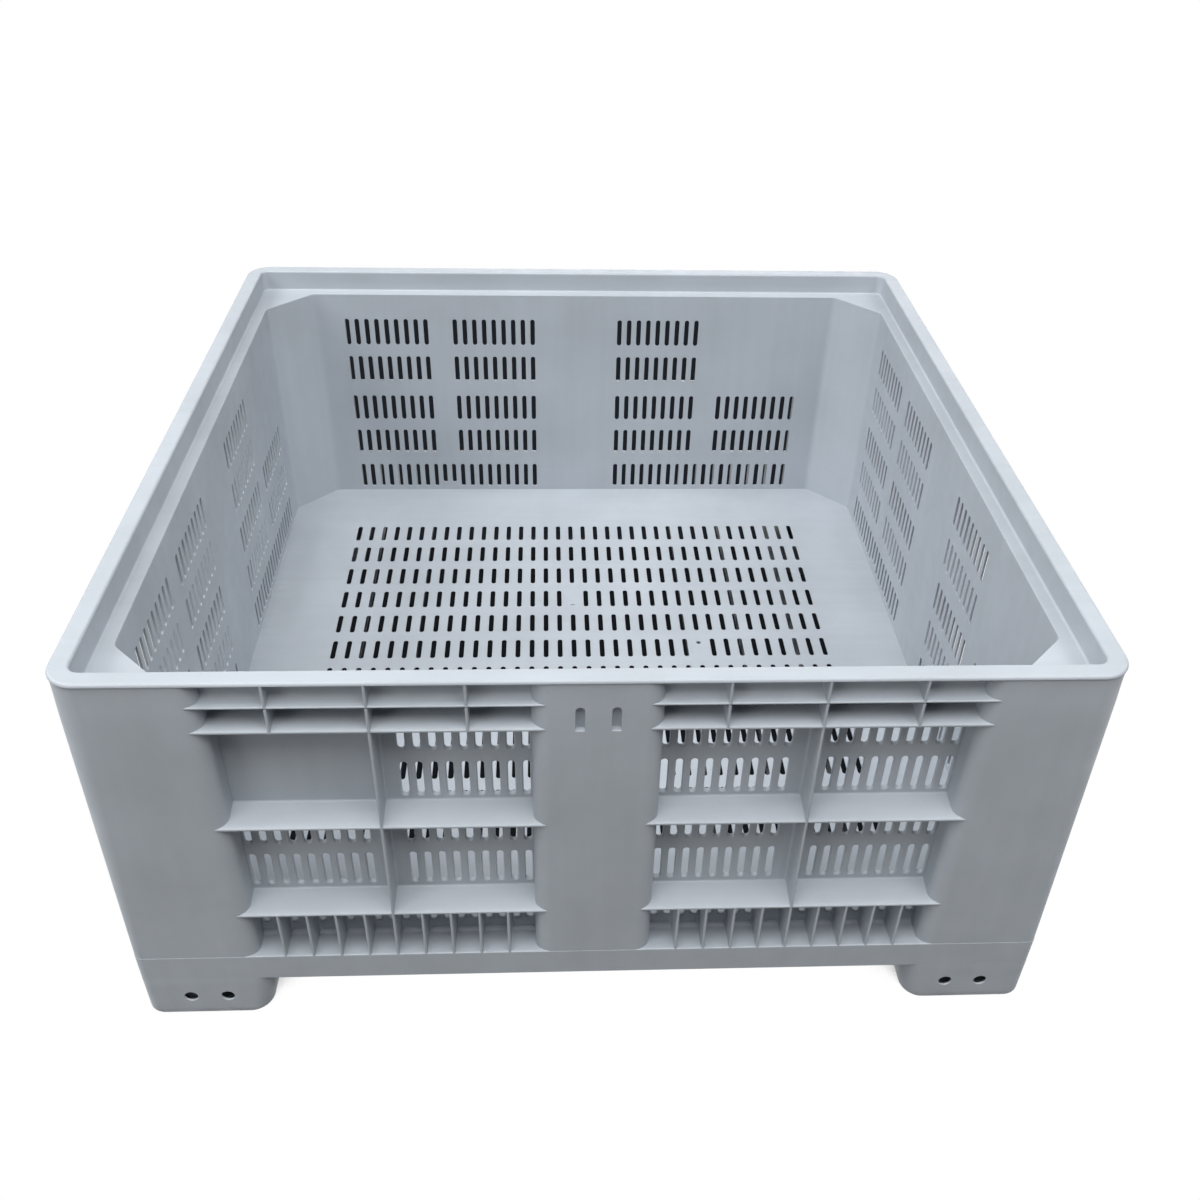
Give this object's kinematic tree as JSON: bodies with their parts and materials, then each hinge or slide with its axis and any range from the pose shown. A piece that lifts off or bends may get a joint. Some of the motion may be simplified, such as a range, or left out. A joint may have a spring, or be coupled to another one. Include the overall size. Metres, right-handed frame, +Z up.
{
  "type": "fruit bin",
  "caption": "Square open-topped plastic fruit bin with slotted and ribbed walls, a slotted floor, a raised rim lip and corner feet that leave fork entries on every side.",
  "frame": {"origin": "on the ground under the middle of the bin", "axes": "+Z up, -Y towards the front, +X to the right seen from the front"},
  "size_m": [1.2, 1.2, 0.6],
  "materials": {
    "wall_plastic": "moulded plastic, satin, lightly scuffed",
    "rib_plastic": "moulded plastic, satin, lightly scuffed",
    "post_plastic": "moulded plastic, satin, lightly scuffed",
    "rim_plastic": "moulded plastic, satin, lightly scuffed",
    "floor_plastic": "moulded plastic, satin, lightly scuffed",
    "base_plastic": "moulded plastic, satin, lightly scuffed"
  },
  "bodies": {
    "root": {"front_panel": "wall_plastic", "right_panel": "wall_plastic", "rear_panel": "wall_plastic", "left_panel": "wall_plastic", "front_flange": "rib_plastic", "right_flange": "rib_plastic", "rear_flange": "rib_plastic", "left_flange": "rib_plastic", "front_shelf": "rib_plastic", "right_shelf": "rib_plastic", "rear_shelf": "rib_plastic", "left_shelf": "rib_plastic", "front_ribs": "rib_plastic", "right_ribs": "rib_plastic", "rear_ribs": "rib_plastic", "left_ribs": "rib_plastic", "front_grille": "rib_plastic", "right_grille": "rib_plastic", "rear_grille": "rib_plastic", "left_grille": "rib_plastic", "front_pillar": "post_plastic", "right_pillar": "post_plastic", "rear_pillar": "post_plastic", "left_pillar": "post_plastic", "front_left_post": "post_plastic", "front_right_post": "post_plastic", "rear_right_post": "post_plastic", "rear_left_post": "post_plastic", "front_left_web": "wall_plastic", "front_right_web": "wall_plastic", "rear_right_web": "wall_plastic", "rear_left_web": "wall_plastic", "front_left_foot": "base_plastic", "front_right_foot": "base_plastic", "rear_right_foot": "base_plastic", "rear_left_foot": "base_plastic", "rim_lip": "rim_plastic", "ledge": "rim_plastic", "floor_deck": "floor_plastic", "base_frame": "base_plastic", "floor_ribs": "base_plastic"}
  },
  "joints": []
}
